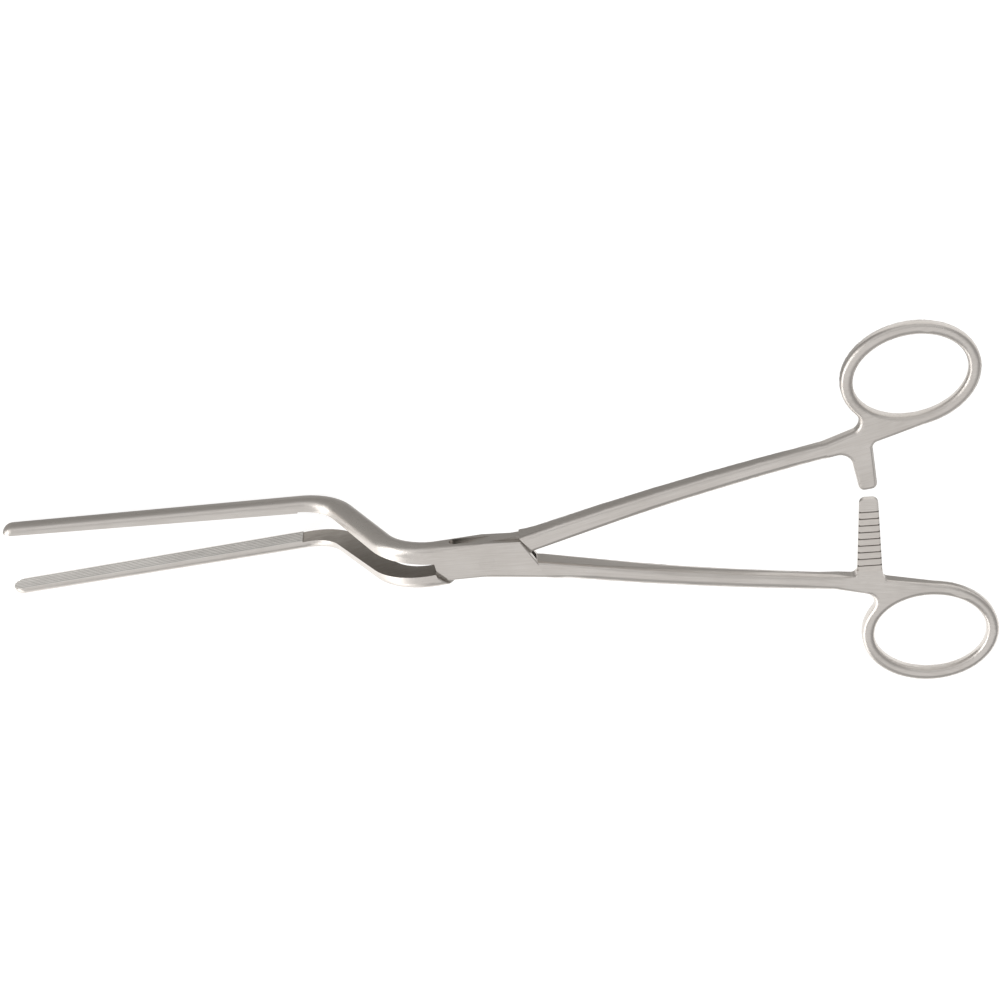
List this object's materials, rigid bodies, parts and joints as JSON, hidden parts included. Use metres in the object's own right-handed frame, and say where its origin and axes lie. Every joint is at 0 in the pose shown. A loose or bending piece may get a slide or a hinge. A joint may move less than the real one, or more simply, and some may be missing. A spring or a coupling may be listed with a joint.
{
  "type": "intestinal forceps",
  "caption": "Long ring-handled clamp with a box lock, bayonet-bent jaws with lengthwise serration and a ratchet between the handles, shown open.",
  "frame": {"origin": "on the lock pin's axis, at the level of the surface that the jaws rest on", "axes": "+X from the jaw tips to the finger rings, +Y across the opening towards the handle with the short ratchet arm, +Z along the lock pin, up"},
  "size_m": [0.3044, 0.1196, 0.0476],
  "materials": {
    "satin_steel": "satin",
    "pin_steel": "satin, ground flush"
  },
  "bodies": {
    "female": {"female_half": "satin_steel", "lock_pin": "pin_steel"},
    "male": {"male_half": "satin_steel"}
  },
  "joints": [
    {"name": "box_lock", "type": "hinge", "parent": "female", "child": "male", "pos_m": [0, 0, 0.044], "axis": [0, 0, 1], "range_deg": [-7, 35]}
  ]
}
